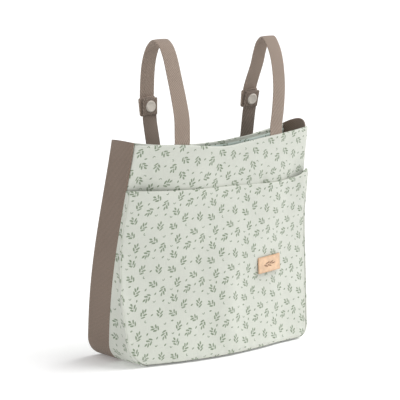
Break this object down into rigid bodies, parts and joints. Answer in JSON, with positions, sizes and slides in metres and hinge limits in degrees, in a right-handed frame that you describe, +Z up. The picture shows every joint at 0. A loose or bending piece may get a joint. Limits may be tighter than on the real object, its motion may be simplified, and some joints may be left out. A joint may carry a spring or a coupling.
{
  "type": "diaper bag",
  "caption": "Soft bag that hangs from a stroller bar by two strap loops with snaps, with an open main compartment, a padded front pocket and a webbing band round sides and base.",
  "frame": {"origin": "middle of the bag's box on its base", "axes": "+Z up, -Y to the front (pocket side), +X to the right when the front is seen"},
  "size_m": [0.343, 0.142, 0.4693],
  "materials": {
    "fabric": "matt printed cotton",
    "lining": "matt printed cotton",
    "wadding": "soft polyester fleece",
    "webbing": "ribbed cotton webbing",
    "leather": "smooth vegetable tanned",
    "snap": "satin lacquer"
  },
  "bodies": {
    "bag": {"front_panel_shell": "fabric", "front_panel_wadding": "wadding", "front_panel_lining": "lining", "back_panel_shell": "fabric", "back_panel_wadding": "wadding", "back_panel_lining": "lining", "gusset_band": "webbing", "gusset_band_lining": "lining", "pocket_gusset": "fabric", "left_strap_front": "webbing", "right_strap_front": "webbing", "left_short_strap_sewn_end": "webbing", "right_short_strap_sewn_end": "webbing"},
    "pocket_front": {"pocket_panel_shell": "fabric", "pocket_panel_wadding": "wadding", "pocket_panel_lining": "lining", "label": "leather"},
    "left_tab": {"left_strap_rear": "webbing", "left_snap_socket": "snap", "left_snap_outer_cap": "snap"},
    "right_tab": {"right_strap_rear": "webbing", "right_snap_socket": "snap", "right_snap_outer_cap": "snap"},
    "left_lower": {"left_short_strap": "webbing", "left_snap_stud": "snap", "left_snap_inner_cap": "snap"},
    "right_lower": {"right_short_strap": "webbing", "right_snap_stud": "snap", "right_snap_inner_cap": "snap"}
  },
  "joints": [
    {"name": "pocket_open", "type": "hinge", "parent": "bag", "child": "pocket_front", "pos_m": [0, -0.065, 0.0018], "axis": [1, 0, 0], "range_deg": [0, 10]},
    {"name": "left_snap_open", "type": "hinge", "parent": "bag", "child": "left_tab", "pos_m": [-0.088, -0.0106, 0.4693], "axis": [1, 0, 0], "range_deg": [0, 60]},
    {"name": "right_snap_open", "type": "hinge", "parent": "bag", "child": "right_tab", "pos_m": [0.088, -0.0424, 0.4678], "axis": [1, 0, 0], "range_deg": [0, 60]},
    {"name": "left_short_strap_fold", "type": "hinge", "parent": "bag", "child": "left_lower", "pos_m": [-0.088, 0.003, 0.3172], "axis": [1, 0, 0], "range_deg": [0, 50]},
    {"name": "right_short_strap_fold", "type": "hinge", "parent": "bag", "child": "right_lower", "pos_m": [0.088, 0.003, 0.3172], "axis": [1, 0, 0], "range_deg": [0, 50]}
  ]
}
